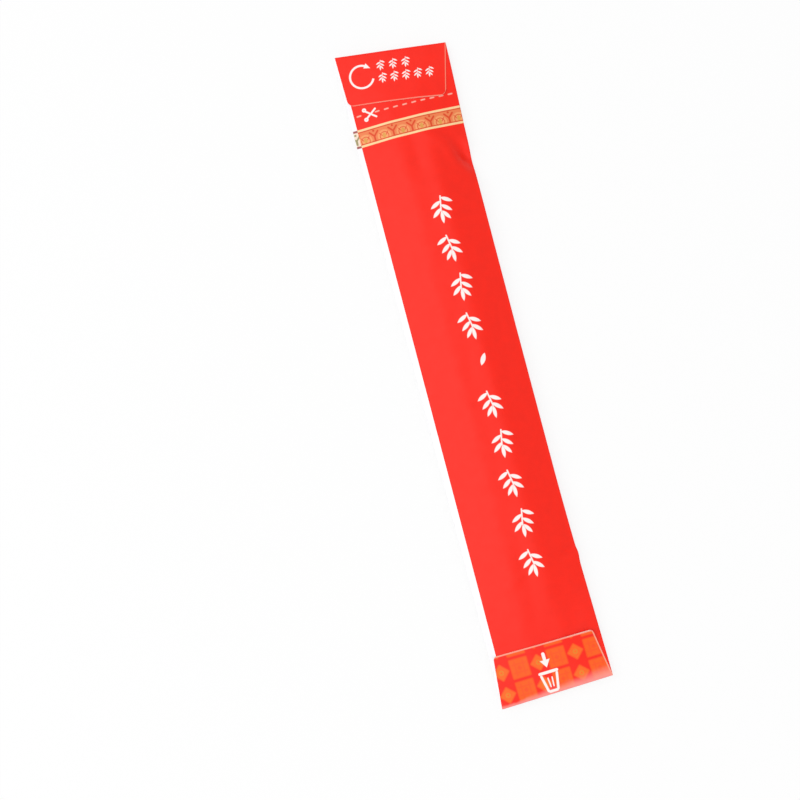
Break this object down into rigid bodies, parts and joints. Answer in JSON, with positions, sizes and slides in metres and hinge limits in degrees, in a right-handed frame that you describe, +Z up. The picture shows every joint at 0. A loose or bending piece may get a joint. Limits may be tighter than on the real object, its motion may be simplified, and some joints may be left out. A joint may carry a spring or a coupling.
{
  "type": "sealed paper packet of bamboo chopstick tips",
  "caption": "Flat paper sleeve packet, sealed by a glued flap at each end, bulging over the bamboo chopstick tips inside; red printed back up, white front down.",
  "frame": {"origin": "centre of the packet's footprint, on the surface it lies on", "axes": "+Z up, out of the red back; +Y along the packet to the end that is cut open; +X to the right seen from above"},
  "size_m": [0.0269, 0.1578, 0.0054],
  "materials": {
    "printed_paper": "smooth printed paper, lightly glossy"
  },
  "bodies": {
    "root": {"chopstick_packet": "printed_paper"}
  },
  "joints": []
}
